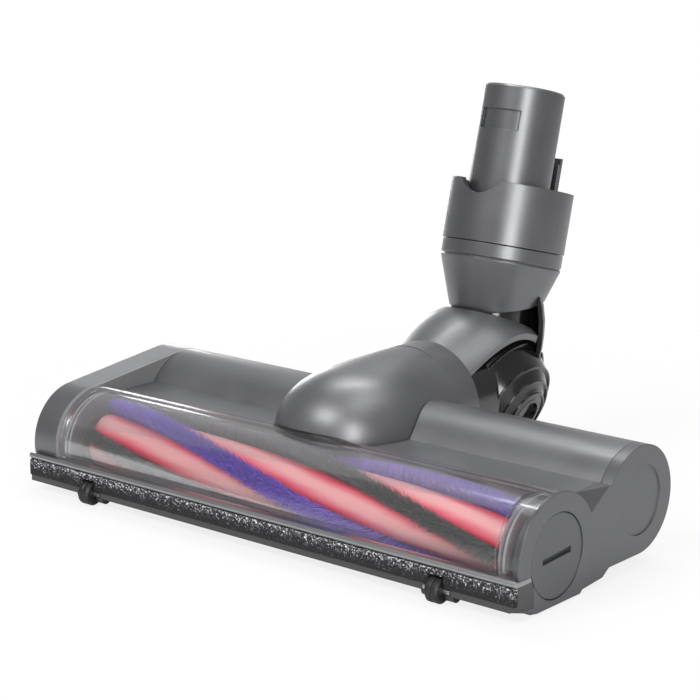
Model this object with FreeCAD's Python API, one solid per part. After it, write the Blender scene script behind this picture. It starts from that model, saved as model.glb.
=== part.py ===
import FreeCAD
import Part
import math
import os

# Vacuum turbo brush: a belt-driven floor head with a clear brush window, and a neck that tilts and swivels.
# Millimetres. X runs along the brush, +Y is backwards, +Z is up. The model is drawn with Y = 0 on the brush
# axis and Z = 0 on the floor, and save() moves it so that the origin is the middle of its footprint.

Vector = FreeCAD.Vector
X_AXIS = Vector(1, 0, 0)
Y_AXIS = Vector(0, 1, 0)
Z_AXIS = Vector(0, 0, 1)

# Head as a whole
half_width = 105.5
wall = 2.0
sole_z = 3.1
rear_sole_z = 4.7
deck_z = 31.6
joint_gap = 0.1
loose_gap = 0.3
running_gap = 0.05

# Brush chamber and window
brush_z = 16.0
window_r = 19.3
window_wall = 1.5
seam_y = 10.6
window_left = -(half_width - 12.4)
flange_x = half_width - 11.0
flange_wall = 1.8
flange_r = 16.4

# Rear barrel
barrel_y = 45.7
barrel_z = 22.6
barrel_r = 17.9
flank_r = 21.2
bulkhead_x = 28.0
bulkhead_wall = 2.0

# Ends of the head
plate_wall = 4.0
ring_r = 20.0
cap_r = 13.35
cap_gap = 0.3
slot_length = 15.0
slot_width = 1.9
slot_depth = 1.3
slot_tilt = 3.0
rim_wall = 0.8
end_low = 0.5

# Front lip, flocked strip and sole
lip_y = -21.2
lip_top = 12.9
rib_r = 1.0
strip_low = 5.4
strip_high = 11.0
strip_proud = 0.6
strip_depth = 0.8
mouth_front = -11.8
mouth_rear = 12.6
mouth_left = -(half_width - 13.9)
mouth_right = half_width - 12.1
sole_wall = 1.8
sole_rear = 26.0

# Wheels
roller_x = half_width - 29.5
roller_y = -20.6
roller_r = 4.2
roller_width = 5.0
roller_pin_r = 1.0
wheel_x = 38.0
wheel_y = 56.0
wheel_r = 6.2
wheel_width = 8.0
wheel_pin_r = 1.3
wheel_gap = 0.8

# Brush bar
core_r = 10.6
core_swell = 0.9
core_left = -(half_width - 17.5)
core_right = half_width - 15.5
tip_r = 15.7
root_r = 9.2
strip_wall_tip = 3.6
strip_wall_root = 2.6
strip_count = 5
strip_phase = 17.0
strip_twist = 0.95
hub_r = 4.0
end_pin_r = 3.0

# Belt drive and motor
brush_pulley_r = 9.0
motor_pulley_r = 5.0
belt_wall = 1.2
belt_width = 5.0
pulley_width = 5.6
belt_x = -(half_width - 6.3)
shaft_r = 1.6
motor_r = 13.0
motor_wall = 1.4
motor_left = -(half_width - 19.5)
motor_right = motor_left + 40.0
rotor_r = 8.4
magnet_wall = 2.4

# Cowl and swivel joint
swivel_y = 61.5
swivel_z = 30.6
swivel_r = 22.5
cowl_centre_y = 34.5
cowl_reach = 31.5
cowl_half_width = 25.9
cowl_height = 21.6
cowl_fullness = 2.2
cowl_wall = 2.0
duct_half_width = 17.0
duct_low = 12.5
duct_high = 29.0
sleeve_r = swivel_r - 3.8
sleeve_wall = 2.0
sleeve_front = 48.0

# Elbow
collar_rear = 72.6
hood_y = 97.5
hood_r = 31.3
hood_wall = 2.2
hood_offset = 3.6
hood_slope = 0.3
pivot_y = 104.8
pivot_z = 30.6
ear_inner = 11.4
ear_wall = 2.4
ear_half_height = 4.6
pin_r = 2.2

# Neck, drawn upright from its pivot and leaned back
neck_lean = 14.5
neck_shift = -1.7
spigot_shift = -4.2
cone_low = 26.0
cone_back = 36.0
cone_high = 46.2
cone_low_r = 15.4
band_r = 22.0
band_high = 51.1
collar_r = 22.3
collar_wall = 2.7
collar_high = 73.4
scallop_r = 10.0
scallop_depth = 5.0
spigot_r = 14.7
spigot_wall = 2.2
spigot_high = 108.5
recess_low = 92.2
recess_high = 99.4
recess_half_width = 8.2
recess_depth = 0.9
shield_wall = 1.8
shield_front = 7.8
shield_profile = ((38.0, 19.6), (45.5, 21.5), (50.0, 22.0), (55.5, 22.2), (60.9, 21.6), (65.7, 20.2))
shroud_back = collar_r - collar_wall + neck_shift - spigot_shift - 1.2
shroud_wall = 1.3
shroud_half_width = 7.5
shroud_high = 86.5
arm_inner = 8.6
arm_wall = 2.5
arm_half_width = 4.4

# Ribbed boot: ridges as (distance along the side axis, radius)
boot_y = 105.0
boot_z = 31.0
boot_slope = 0.42
boot_wall = 2.6
boot_ridges = ((8.8, 22.8), (16.4, 17.6), (19.2, 13.2), (21.0, 9.2), (21.6, 6.5))
boot_r = 24.0
boot_stub_r = 14.0
boot_stub_wall = 1.8
boot_neck_r = sleeve_r - 0.3

parts = {}


def box(x0, x1, y0, y1, z0, z1):
    """A box between two corners."""
    return Part.makeBox(x1 - x0, y1 - y0, z1 - z0, Vector(x0, y0, z0))


def rod_x(x0, x1, y, z, radius):
    """A cylinder along X."""
    return Part.makeCylinder(radius, x1 - x0, Vector(x0, y, z), X_AXIS)


def rod_y(y0, y1, x, z, radius):
    """A cylinder along Y."""
    return Part.makeCylinder(radius, y1 - y0, Vector(x, y0, z), Y_AXIS)


def rod_z(z0, z1, x, y, radius):
    """A cylinder along Z."""
    return Part.makeCylinder(radius, z1 - z0, Vector(x, y, z0), Z_AXIS)


def fuse(shapes):
    """One solid from several that meet."""
    whole = shapes[0].multiFuse(shapes[1:])
    return whole.removeSplitter()


def prism_x(points, x0, x1):
    """A straight-sided outline in the YZ plane, extruded along X."""
    corners = [Vector(x0, y, z) for y, z in points]
    outline = Part.makePolygon(corners + corners[:1])
    return Part.Face(outline).extrude(Vector(x1 - x0, 0, 0))


def prism_z(points, z0, z1):
    """A straight-sided outline in the XY plane, extruded along Z."""
    corners = [Vector(x, y, z0) for x, y in points]
    outline = Part.makePolygon(corners + corners[:1])
    return Part.Face(outline).extrude(Vector(0, 0, z1 - z0))


def tangent_angle(y1, z1, r1, y2, z2, r2):
    """Direction, seen along X, of the radii that touch the upper common tangent of two circles."""
    run = math.hypot(y2 - y1, z2 - z1)
    return math.atan2(z2 - z1, y2 - y1) + math.acos((r1 - r2) / run)


def on_circle(y, z, radius, angle):
    """A point of a circle in the YZ plane."""
    return (y + radius * math.cos(angle), z + radius * math.sin(angle))


def loop_x(y1, z1, r1, y2, z2, r2, x0, x1):
    """Two round ends joined by their common tangents, extruded along X."""
    lean = math.atan2(z2 - z1, y2 - y1)
    upper = tangent_angle(y1, z1, r1, y2, z2, r2)
    lower = 2 * lean - upper
    web = prism_x(
        [on_circle(y1, z1, r1, upper), on_circle(y2, z2, r2, upper),
         on_circle(y2, z2, r2, lower), on_circle(y1, z1, r1, lower)], x0, x1)
    return fuse([rod_x(x0, x1, y1, z1, r1), rod_x(x0, x1, y2, z2, r2), web])


def keep_above(shape, z):
    """The part of a shape above a level, which leaves its underside flat."""
    return shape.cut(box(-200, 200, -100, 200, -100, z))


def leaned(shape, shift=0.0):
    """A neck piece, drawn upright on its pivot, shifted back, leaned and set on the elbow's pivot."""
    moved = shape.copy()
    moved.translate(Vector(0, shift, 0))
    moved.rotate(Vector(0, 0, 0), X_AXIS, -neck_lean)
    moved.translate(Vector(0, pivot_y, pivot_z))
    return moved


def side_body(x0, x1, inset):
    """Side outline of the head: the window's round and the barrel's round under one straight top."""
    front_r = window_r - inset
    rear_r = barrel_r - inset
    upper = tangent_angle(0, brush_z, front_r, barrel_y, barrel_z, rear_r)
    web = prism_x(
        [on_circle(0, brush_z, front_r, upper), on_circle(barrel_y, barrel_z, rear_r, upper),
         (barrel_y, rear_sole_z + inset), (28.5, rear_sole_z + inset), (25.0, sole_z + inset),
         (-12.0, sole_z + inset), (0, brush_z)], x0, x1)
    rounds = [rod_x(x0, x1, 0, brush_z, front_r), rod_x(x0, x1, barrel_y, barrel_z, rear_r), web]
    return keep_above(fuse(rounds), sole_z + inset)


def barrel_outline(x0, x1, inset, front_y):
    """Deck and rear barrel as one outline: flat deck, rising flank, round back and flat underside."""
    flank = flank_r - inset
    rear = barrel_r - inset
    top = barrel_z + rear
    flank_z = top - flank
    deck = deck_z - inset
    valley = barrel_y - math.sqrt(flank ** 2 - (deck - flank_z) ** 2)
    middle = on_circle(barrel_y, flank_z, flank, math.radians(115))
    low = rear_sole_z + inset

    def at(y, z):
        return Vector(x0, y, z)

    edges = [
        Part.LineSegment(at(front_y, low), at(front_y, deck)).toShape(),
        Part.LineSegment(at(front_y, deck), at(valley, deck)).toShape(),
        Part.Arc(at(valley, deck), at(*middle), at(barrel_y, top)).toShape(),
        Part.Arc(at(barrel_y, top), at(barrel_y + rear, barrel_z), at(barrel_y, low)).toShape(),
        Part.LineSegment(at(barrel_y, low), at(front_y, low)).toShape(),
    ]
    return Part.Face(Part.Wire(edges)).extrude(Vector(x1 - x0, 0, 0))


def cowl_form(grow):
    """The cowl's body: a round duct at the swivel that swells forward into a blunt nose."""
    sections = []
    stations = [(swivel_y + 10, 1.0, 0.0), (swivel_y - 4, 1.0, 0.0), (swivel_y - 11, 1.0, 0.0)]
    for turn in (0, 24, 44, 60, 72, 81):
        sine = math.sin(math.radians(turn))
        close = (1 - sine ** cowl_fullness) ** (1 / cowl_fullness)
        stations.append((cowl_centre_y - cowl_reach * sine, close, 1.0))
    for y, close, nose in stations:
        half = (swivel_r + (cowl_half_width - swivel_r) * nose) * close + grow
        up = (swivel_r + (cowl_height - swivel_r) * nose) * close + grow
        down = swivel_r * close + grow
        points = []
        for step in range(16):
            angle = 2 * math.pi * step / 16
            height = up if math.sin(angle) > 0 else down
            points.append(Vector(half * math.cos(angle), y, swivel_z + height * math.sin(angle)))
        curve = Part.BSplineCurve()
        curve.interpolate(Points=points, PeriodicFlag=True)
        sections.append(Part.Wire([curve.toShape()]))
    return Part.makeLoft(sections, True, False)


def chamber(radius, x0, x1):
    """A cylinder on the brush axis."""
    return rod_x(x0, x1, 0, brush_z, radius)


def lip_space(x0, x1):
    """The room of the front lip, which the pieces behind it leave free."""
    return box(x0, x1, lip_y - 2, -11.9, sole_z - joint_gap, lip_top + joint_gap)


def wheel_space(x, gap):
    """A pocket for one rear wheel."""
    reach = wheel_r + gap
    half = wheel_width / 2 + gap
    return fuse([rod_x(x - half, x + half, wheel_y, wheel_r, reach),
                 box(x - half, x + half, wheel_y - reach, wheel_y + reach, -5, wheel_r)])


def main_housing():
    """Deck, rear barrel and the back wall of the brush chamber, open below in front."""
    x0 = window_left - 0.1
    x1 = half_width - plate_wall - joint_gap
    outer = barrel_outline(x0, x1, 0, 0)
    bay = barrel_outline(x0 - 1, x1 + 1, wall, 0)
    bay = bay.cut(chamber(window_r, x0 - 2, x1 + 2))
    shell = outer.cut(bay)
    ribs = []
    for side in (-1, 1):
        inner = side * bulkhead_x
        outer_x = side * (bulkhead_x + bulkhead_wall)
        ribs.append(barrel_outline(min(inner, outer_x), max(inner, outer_x), wall / 2, 14.0))
        block = box(side * wheel_x - 7.5, side * wheel_x + 7.5, wheel_y - 10, wheel_y + 10, 4, 15)
        ribs.append(block.common(barrel_outline(-half_width, half_width, wall / 2, 0)))
    ribs.append(box(motor_right + 1.5, motor_right + 3.5, 30, 60, 5, 38).common(
        barrel_outline(-half_width, half_width, wall / 2, 14.0)))
    for x in (50, 86):
        ribs.append(rod_z(rear_sole_z + wall / 2, barrel_z - 1, x, barrel_y, 2.6))
    shell = fuse([shell] + ribs)
    shell = shell.cut(chamber(window_r - window_wall, x0 - 1, x1 + 1))
    front = box(x0 - 1, x1 + 1, -30, seam_y + joint_gap, 0, 60)
    shell = shell.cut(front)
    shell = shell.cut(box(x0 - 1, x1 + 1, -30, sole_rear + joint_gap, 0, sole_z + sole_wall + joint_gap))
    shell = shell.cut(box(x0 - 1, x1 + 1, 19.5, sole_rear - 4, 0, 9))
    body = cowl_form(loose_gap).cut(chamber(window_r - loose_gap, -60, 60))
    shell = shell.cut(body)
    shell = shell.cut(box(-duct_half_width, duct_half_width, 8, 24, duct_low, duct_high))
    for side in (-1, 1):
        x = side * wheel_x
        shell = shell.cut(wheel_space(x, wheel_gap))
        shell = shell.cut(rod_x(x - 6.5, x + 6.5, wheel_y, wheel_r, wheel_pin_r))
    return shell


def beyond_plane(first, second, third, reach):
    """The room beyond a plane through three points, on the side that their turning faces."""
    normal = (second - first).cross(third - first)
    return Part.makeCylinder(reach, reach, first, normal)


def deck_notch():
    """The cut at the deck's right end: a sloping facet from the deck down to the end face."""
    cut = beyond_plane(Vector(half_width, 16.2, 24.4), Vector(half_width, 27.6, deck_z),
                       Vector(half_width - plate_wall, 14.5, deck_z), 16.0)
    return cut.cut(chamber(ring_r, 60, 150)).cut(barrel_outline(60, 150, 0, 29.0))


def chin_corner():
    """The slanting cut under the front right corner of the head."""
    return beyond_plane(Vector(half_width, lip_y, strip_low + 0.6), Vector(half_width - 2.3, lip_y, sole_z),
                        Vector(half_width, -10.3, end_low), 30.0)


def right_end_plate():
    """End frame with the ring that holds the coin-turn cap and a thin rim in front of the window."""
    x0 = half_width - plate_wall
    web = prism_x([(-20.5, sole_z), (-10.3, end_low), (6.0, end_low + 0.4), (25.0, sole_z - 0.7),
                   (28.5, rear_sole_z), (40.0, rear_sole_z), (40.0, deck_z - 6), (28.0, deck_z),
                   (seam_y + 2, deck_z), (0, brush_z)], x0, half_width)
    plate = fuse([chamber(ring_r, x0, half_width), barrel_outline(x0, half_width, 0, 20.0), web])
    plate = plate.cut(box(x0 - 1, half_width + 1, -30, 60, -20, end_low))
    plate = plate.cut(chamber(cap_r + cap_gap, x0 - 1, half_width + 1))
    plate = plate.cut(rod_x(half_width - 0.4, half_width + 1, barrel_y, barrel_z, 11.5))
    plate = plate.cut(deck_notch()).cut(lip_space(x0 - 1, half_width + 1))
    seat = box(x0 - 1, half_width - rim_wall, -30, seam_y + joint_gap, lip_top + 0.05, 60)
    plate = plate.cut(seat.cut(chamber(window_r - window_wall - joint_gap, x0 - 2, half_width + 1)))
    plate = plate.cut(chin_corner())
    return max(plate.Solids, key=lambda piece: piece.Volume)


def left_cheek():
    """Belt cover on the left, open towards the belt plate."""
    x1 = window_left - joint_gap - window_wall - joint_gap
    cover = side_body(-half_width, x1, 0).cut(side_body(-half_width + wall, x1 + 1, wall))
    return cover.cut(lip_space(-half_width - 1, x1 + 1))


def belt_plate():
    """Inner wall of the belt cover, with the bearing seat and the motor shaft's hole."""
    x1 = window_left - joint_gap
    plate = side_body(x1 - window_wall, x1, 0).cut(lip_space(-half_width - 1, x1 + 1))
    plate = plate.cut(rod_x(-110, -80, 0, brush_z, hub_r + 4.0))
    return plate.cut(rod_x(-110, -80, barrel_y, barrel_z, shaft_r + 0.6))


def window():
    """Clear cover over the brush with a turned-in flange at its right end."""
    x1 = half_width - rim_wall - joint_gap
    shell = chamber(window_r, window_left, x1).cut(chamber(window_r - window_wall, window_left - 1, x1 + 1))
    flange = chamber(window_r - window_wall / 2, flange_x, flange_x + flange_wall)
    flange = flange.cut(chamber(flange_r, flange_x - 1, flange_x + 3))
    whole = fuse([shell, flange])
    whole = whole.cut(box(-120, 120, seam_y, 40, -10, 50))
    return whole.cut(box(-120, 120, -40, 40, -10, lip_top + joint_gap))


def front_lip():
    """Chin bar across the whole front, with the bright rib and the bed of the flocked strip."""
    low = sole_z
    bar = box(-half_width, half_width, lip_y, -12.0, low, lip_top)
    rib = rod_x(-half_width, half_width, lip_y + 0.3, lip_top - rib_r + 0.4, rib_r)
    whole = fuse([bar, rib])
    for side in (-1, 1):
        x = side * roller_x
        boss = roller_width / 2 + 3.6
        whole = fuse([whole, rod_x(x - boss, x + boss, roller_y + 1.8, low, 2.3).cut(
            box(-120, 120, -40, lip_y, -5, 5))])
    whole = whole.cut(chamber(window_r - window_wall, window_left, half_width - plate_wall))
    whole = whole.cut(box(-half_width - 1, half_width + 1, lip_y - 0.1, lip_y + strip_depth, strip_low, strip_high))
    for side in (-1, 1):
        x = side * roller_x
        half = roller_width / 2 + 0.5
        arch = fuse([rod_x(x - half, x + half, roller_y, roller_r, roller_r + 0.8),
                     box(x - half, x + half, roller_y - 6, roller_y + roller_r + 0.8, -2, roller_r)])
        whole = whole.cut(arch)
        whole = whole.cut(rod_x(x - half - 2.2, x + half + 2.2, roller_y, roller_r, roller_pin_r))
    whole = whole.cut(chamber(cap_r + cap_gap + 0.4, half_width - plate_wall - 1, half_width + 1))
    return whole.cut(chin_corner())


def flocked_strip():
    """Soft flocked strip in the lip's front bed, cleared round the rollers."""
    y0 = lip_y - strip_proud
    strip = box(-half_width, half_width, y0, lip_y + strip_depth - joint_gap / 2, strip_low + joint_gap / 2,
                strip_high - joint_gap / 2)
    for side in (-1, 1):
        x = side * roller_x
        half = roller_width / 2 + 0.5
        strip = strip.cut(rod_x(x - half, x + half, roller_y, roller_r, roller_r + 0.8))
    return strip


def sole_plate():
    """Flat underside plate round the brush mouth."""
    x1 = half_width - plate_wall - joint_gap
    plate = box(window_left, x1, -11.9, sole_rear, sole_z, sole_z + sole_wall)
    plate = plate.cut(box(mouth_left, mouth_right, mouth_front, mouth_rear, 0, 10))
    for x in (-60, 0, 60):
        plate = plate.cut(rod_z(0, 10, x, 17.5, 1.7))
    return plate


def cover_screws():
    """Three screws that hold the sole plate up into the housing."""
    screws = []
    for x in (-60, 0, 60):
        head = rod_z(sole_z - 0.6, sole_z, x, 17.5, 2.9)
        shank = rod_z(sole_z, sole_z + sole_wall + 3.0, x, 17.5, 1.6)
        slot = box(x - 2.0, x + 2.0, 17.2, 17.8, sole_z - 0.7, sole_z - 0.2)
        screws.append(fuse([head, shank]).cut(slot))
    return Part.Compound(screws)


def sole_felt():
    """Felt strip behind the brush mouth."""
    return box(mouth_left + 4, mouth_right - 6, 21.0, 24.5, sole_z - 0.9, sole_z)


def cowl():
    """Upper duct cover from the brush chamber to the swivel."""
    shell = cowl_form(0).cut(cowl_form(-cowl_wall)).cut(box(-60, 60, swivel_y - joint_gap, 100, -20, 80))
    return shell.cut(chamber(window_r + joint_gap, -60, 60))


def swivel_ring():
    """Bearing ring in the cowl's mouth, which the elbow's sleeve turns in."""
    outer = rod_y(sleeve_front + 6.0, swivel_y - 3, 0, swivel_z, swivel_r - cowl_wall - loose_gap)
    return outer.cut(rod_y(0, 90, 0, swivel_z, sleeve_r + running_gap))


def motor_can():
    """Steel can of the brush motor."""
    can = rod_x(motor_left, motor_right, barrel_y, barrel_z, motor_r)
    can = can.cut(rod_x(motor_left - 1, motor_right - motor_wall, barrel_y, barrel_z, motor_r - motor_wall))
    return can.cut(rod_x(motor_right - 3, motor_right + 1, barrel_y, barrel_z, shaft_r + running_gap))


def motor_end_bell():
    """End bell of the motor with the front bearing seat."""
    bell = rod_x(motor_left - 2, motor_left, barrel_y, barrel_z, motor_r)
    boss = rod_x(motor_left - 3.5, motor_left - 1, barrel_y, barrel_z, 4.5)
    return fuse([bell, boss]).cut(rod_x(-110, -70, barrel_y, barrel_z, shaft_r + running_gap))


def motor_magnets():
    """Two arc magnets inside the can."""
    outer = motor_r - motor_wall - joint_gap / 2
    ring = rod_x(motor_left + 6, motor_right - 6, barrel_y, barrel_z, outer)
    ring = ring.cut(rod_x(-110, -30, barrel_y, barrel_z, outer - magnet_wall))
    gap = box(-110, -30, barrel_y - 3, barrel_y + 3, 0, 60)
    return ring.cut(gap)


def motor_cradle():
    """Saddle that carries the motor in the barrel."""
    outer = barrel_r - wall - joint_gap
    pads = []
    for x in (motor_left + 5, motor_right - 11):
        band = rod_x(x, x + 6, barrel_y, barrel_z, outer)
        band = band.cut(rod_x(x - 1, x + 7, barrel_y, barrel_z, motor_r + joint_gap / 2))
        pads.append(band)
    bridge = box(motor_left + 5, motor_right - 5, barrel_y - 6, barrel_y + 6, barrel_z - outer, barrel_z)
    bridge = bridge.common(rod_x(-110, -30, barrel_y, barrel_z, outer))
    bridge = bridge.cut(rod_x(-110, -30, barrel_y, barrel_z, motor_r + joint_gap / 2))
    cradle = fuse(pads + [bridge])
    return cradle.cut(box(-110, -30, barrel_y - 30, barrel_y + 30, barrel_z + 9, 60))


def motor_rotor():
    """Shaft and wound core of the motor, turned from one axis."""
    shaft = rod_x(belt_x - pulley_width / 2 - 1.2, motor_right + 1.0, barrel_y, barrel_z, shaft_r)
    core = rod_x(motor_left + 8, motor_right - 8, barrel_y, barrel_z, rotor_r)
    commutator = rod_x(motor_left + 2, motor_left + 7, barrel_y, barrel_z, 4.2)
    slots = []
    for step in range(5):
        angle = math.radians(72 * step)
        y, z = on_circle(barrel_y, barrel_z, rotor_r - 1.2, angle)
        slots.append(rod_x(motor_left + 7, motor_right - 7, y, z, 1.3))
    rotor = fuse([shaft, core, commutator])
    for slot in slots:
        rotor = rotor.cut(slot)
    return rotor


def flanged_pulley(y, z, radius, bore):
    """Belt pulley with a low flange on each side."""
    half = pulley_width / 2
    wheel = rod_x(belt_x - half, belt_x + half, y, z, radius)
    for x in (belt_x - half - 0.8, belt_x + half):
        wheel = fuse([wheel, rod_x(x, x + 0.8, y, z, radius + belt_wall * 0.8)])
    return wheel.cut(rod_x(-120, -80, y, z, bore)) if bore else wheel


def drive_belt():
    """Flat belt round both pulleys."""
    x0 = belt_x - belt_width / 2
    x1 = belt_x + belt_width / 2
    inner_1 = brush_pulley_r + running_gap
    inner_2 = motor_pulley_r + running_gap
    outer = loop_x(0, brush_z, inner_1 + belt_wall, barrel_y, barrel_z, inner_2 + belt_wall, x0, x1)
    return outer.cut(loop_x(0, brush_z, inner_1, barrel_y, barrel_z, inner_2, x0 - 1, x1 + 1))


def control_board():
    """Small circuit board in the right part of the barrel."""
    z = barrel_z - 1 + joint_gap / 2
    board = box(46, 90, barrel_y - 7, barrel_y + 9, z, z + 1.6)
    pieces = [board, box(52, 62, barrel_y - 4, barrel_y + 4, z + 1.6, z + 4.6),
              rod_z(z + 1.6, z + 9.5, 72, barrel_y + 2, 3.4), box(78, 84, barrel_y - 3, barrel_y + 6, z + 1.6, z + 6)]
    return fuse(pieces)


def brush_bearing():
    """Bearing ring in the belt plate, round the brush hub."""
    x1 = window_left - joint_gap
    ring = rod_x(x1 - window_wall - 0.5, x1 + 1.6, 0, brush_z, hub_r + 4.0 - joint_gap / 2)
    return ring.cut(rod_x(-120, -80, 0, brush_z, hub_r + running_gap))


def pin_x(x, y, z, radius, half):
    """An axle pin along X."""
    return rod_x(x - half, x + half, y, z, radius)


def front_axles():
    """Axle pins of both front rollers."""
    half = roller_width / 2 + 2.7 - joint_gap
    return Part.Compound([pin_x(side * roller_x, roller_y, roller_r, roller_pin_r - 0.02, half)
                          for side in (-1, 1)])


def rear_axles():
    """Axle pins of both rear wheels."""
    return Part.Compound([pin_x(side * wheel_x, wheel_y, wheel_r, wheel_pin_r - 0.02, 6.5 - joint_gap)
                          for side in (-1, 1)])


def wheel(x, y, radius, width, bore, groove):
    """A small wheel with rounded shoulders and a soft tread groove."""
    half = width / 2
    shoulder = radius * 0.16
    profile = [(bore, -half), (radius - shoulder, -half), (radius, -half + shoulder), (radius, -groove),
               (radius - groove * 0.5, 0), (radius, groove), (radius, half - shoulder),
               (radius - shoulder, half), (bore, half)]
    points = [Vector(x + offset, y, radius + r) for r, offset in profile]
    outline = Part.makePolygon(points + points[:1])
    return Part.Face(outline).revolve(Vector(x, y, radius), X_AXIS, 360)


def helix_angle(x):
    """Turn of the brush pattern at a place along the bar, in radians from the front upwards."""
    return math.radians(-strip_twist * x)


def brush_core():
    """Twisted bar whose section swells between the bristle rows."""
    sections = []
    spans = 12
    sides = 20
    for step in range(spans + 1):
        x = core_left + (core_right - core_left) * step / spans
        points = []
        for turn in range(sides):
            angle = 2 * math.pi * turn / sides
            lobe = angle - helix_angle(x) - math.radians(strip_phase)
            radius = core_r - core_swell * math.cos(strip_count * lobe)
            points.append(Vector(x, -radius * math.cos(angle), brush_z + radius * math.sin(angle)))
        sections.append(Part.makePolygon(points + points[:1]))
    core = Part.makeLoft(sections, True, True)
    core = core.cut(rod_x(core_right - 10, core_right + 1, 0, brush_z, end_pin_r))
    return core.cut(rod_x(core_left - 1, core_left + 8, 0, brush_z, hub_r))


def bristle_strip(index):
    """One helical row of bristles or fibres as a solid fin."""
    sections = []
    spans = 10
    left = core_left + 1.5
    right = core_right - 1.5
    for step in range(spans + 1):
        x = left + (right - left) * step / spans
        angle = helix_angle(x) + math.radians(strip_phase + 360 * index / strip_count)
        out = Vector(0, -math.cos(angle), math.sin(angle))
        across = Vector(0, math.sin(angle), math.cos(angle))
        axis = Vector(x, 0, brush_z)
        root = strip_wall_root / 2
        tip = strip_wall_tip / 2
        corners = [axis + out * root_r - across * root, axis + out * root_r + across * root,
                   axis + out * tip_r + across * tip, axis + out * tip_r - across * tip]
        sections.append(Part.makePolygon(corners + corners[:1]))
    return Part.makeLoft(sections, True, False)


def brush_hub():
    """Drive hub: belt pulley, journal and the square dog that turns the bar."""
    pulley = flanged_pulley(0, brush_z, brush_pulley_r, 0)
    journal = rod_x(belt_x, core_left + 7.8, 0, brush_z, hub_r)
    return fuse([pulley, journal])


def brush_end_pin():
    """Steel pin at the bar's free end, which runs in the cap's bush."""
    return rod_x(core_right - 9.8, half_width - 5.5, 0, brush_z, end_pin_r - 0.02)


def end_cap():
    """Coin-turn cap that closes the right end and carries the bar."""
    x0 = half_width - plate_wall - 3.0
    disc = chamber(cap_r, half_width - plate_wall, half_width - 0.3)
    boss = rod_x(x0, half_width - plate_wall + 0.5, 0, brush_z, 7.0)
    cap = fuse([disc, boss]).cut(rod_x(x0 - 1, half_width - 2.4, 0, brush_z, 5.0))
    slot = box(half_width - 0.3 - slot_depth, half_width + 1, -slot_length / 2, slot_length / 2,
               brush_z - slot_width / 2, brush_z + slot_width / 2)
    slot.rotate(Vector(0, 0, brush_z), X_AXIS, slot_tilt)
    return cap.cut(slot)


def cap_bush():
    """Plain bush in the cap's boss."""
    bush = rod_x(half_width - plate_wall - 3.0, half_width - 2.5, 0, brush_z, 5.0 - joint_gap / 2)
    return bush.cut(rod_x(half_width - 20, half_width - 4.6, 0, brush_z, end_pin_r + running_gap))


def hood_form(inset):
    """Solid of revolution about the swivel axis: collar tube swelling into the round hood."""
    r0 = swivel_r - inset
    rise = [(collar_rear, r0), (collar_rear + 6.5, r0 + 3.4), (collar_rear + 14.0, r0 + 6.7), (hood_y, hood_r - inset)]
    curve = Part.BSplineCurve()
    points = [Vector(0, y, swivel_z + r) for y, r in rise]
    curve.interpolate(Points=points)
    radius = hood_r - inset
    mid = on_circle(hood_y, swivel_z, radius, math.radians(45))
    edges = [
        Part.LineSegment(Vector(0, swivel_y + loose_gap - inset, swivel_z),
                         Vector(0, swivel_y + loose_gap - inset, swivel_z + r0)).toShape(),
        Part.LineSegment(Vector(0, swivel_y + loose_gap - inset, swivel_z + r0), points[0]).toShape(),
        curve.toShape(),
        Part.Arc(points[-1], Vector(0, mid[0], mid[1]), Vector(0, hood_y + radius, swivel_z)).toShape(),
        Part.LineSegment(Vector(0, hood_y + radius, swivel_z),
                         Vector(0, swivel_y + loose_gap - inset, swivel_z)).toShape(),
    ]
    return Part.Face(Part.Wire(edges)).revolve(Vector(0, 0, swivel_z), Y_AXIS, 360)


def hood_sector():
    """Room that the hood may fill behind the collar: narrow below, wide above, open towards the neck."""
    low = 10.0
    high = 70.0
    near = hood_offset / 0.95
    slope = hood_slope / 0.95
    points = [(-near - slope * low, low), (near + slope * low, low),
              (near + slope * high, high), (-near - slope * high, high)]
    corners = [Vector(x, collar_rear, z) for x, z in points]
    outline = Part.makePolygon(corners + corners[:1])
    wedge = Part.Face(outline).extrude(Vector(0, pivot_y + 6 - collar_rear, 0))
    keel = box(-near - slope * low, near + slope * low, collar_rear, pivot_y - 4, 0, low + 0.01)
    return fuse([wedge, keel])


def neck_slot():
    """Upright slot in the hood that the leaning neck passes through."""
    half = cone_low_r + 1.9
    front = pivot_y + neck_shift + math.tan(math.radians(neck_lean)) * cone_low - 0.2
    return fuse([rod_z(pivot_z, 90, 0, front, half), box(-half, half, front, front + 60, pivot_z, 90)])


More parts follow.
